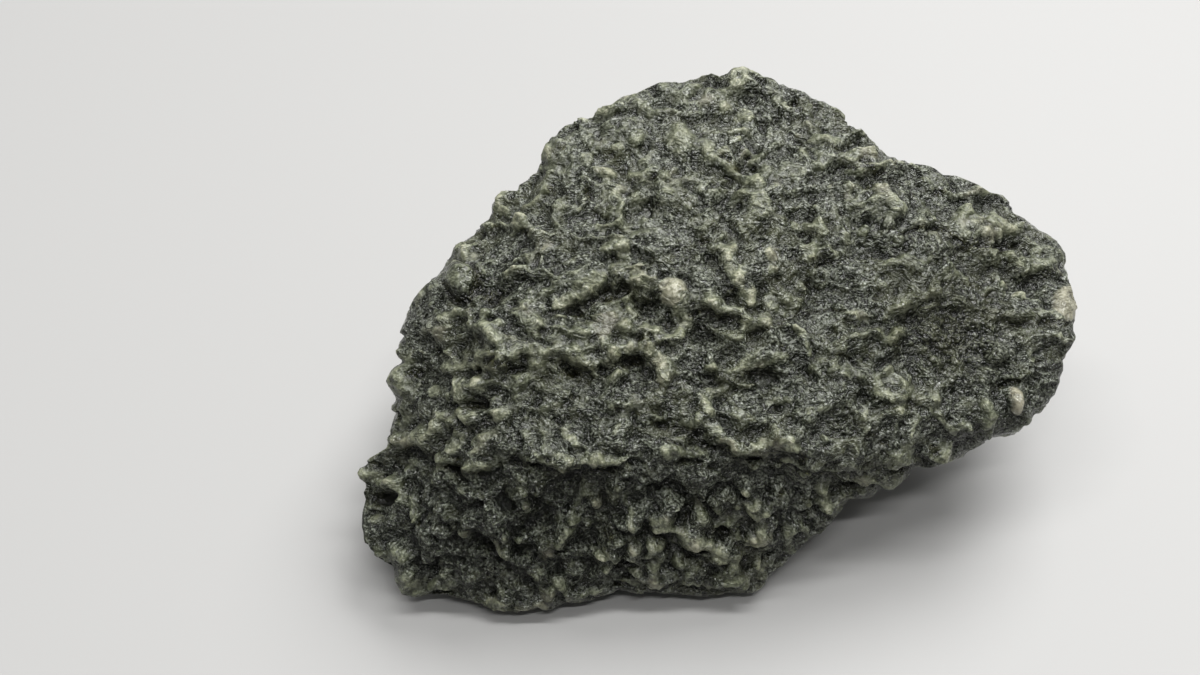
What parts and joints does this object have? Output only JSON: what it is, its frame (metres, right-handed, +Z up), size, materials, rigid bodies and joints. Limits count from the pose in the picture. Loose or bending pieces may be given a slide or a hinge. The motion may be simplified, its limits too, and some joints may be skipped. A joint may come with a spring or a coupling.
{
  "type": "iron meteorite",
  "caption": "Rough wedge-shaped meteorite with ledges, ridges, lumps and pits all over, resting on a small flat spot under its thick end.",
  "frame": {"origin": "under the middle of the lump, on the level it rests on", "axes": "+X along the lump towards its thin raised end, +Y towards its high back edge, +Z up"},
  "size_m": [0.1184, 0.0818, 0.0524],
  "materials": {
    "crust": "rough dark grey-green granular crust with smoother pale olive ridges and lumps, dull waxy shine and small glints"
  },
  "bodies": {
    "root": {"meteorite": "crust"}
  },
  "joints": []
}
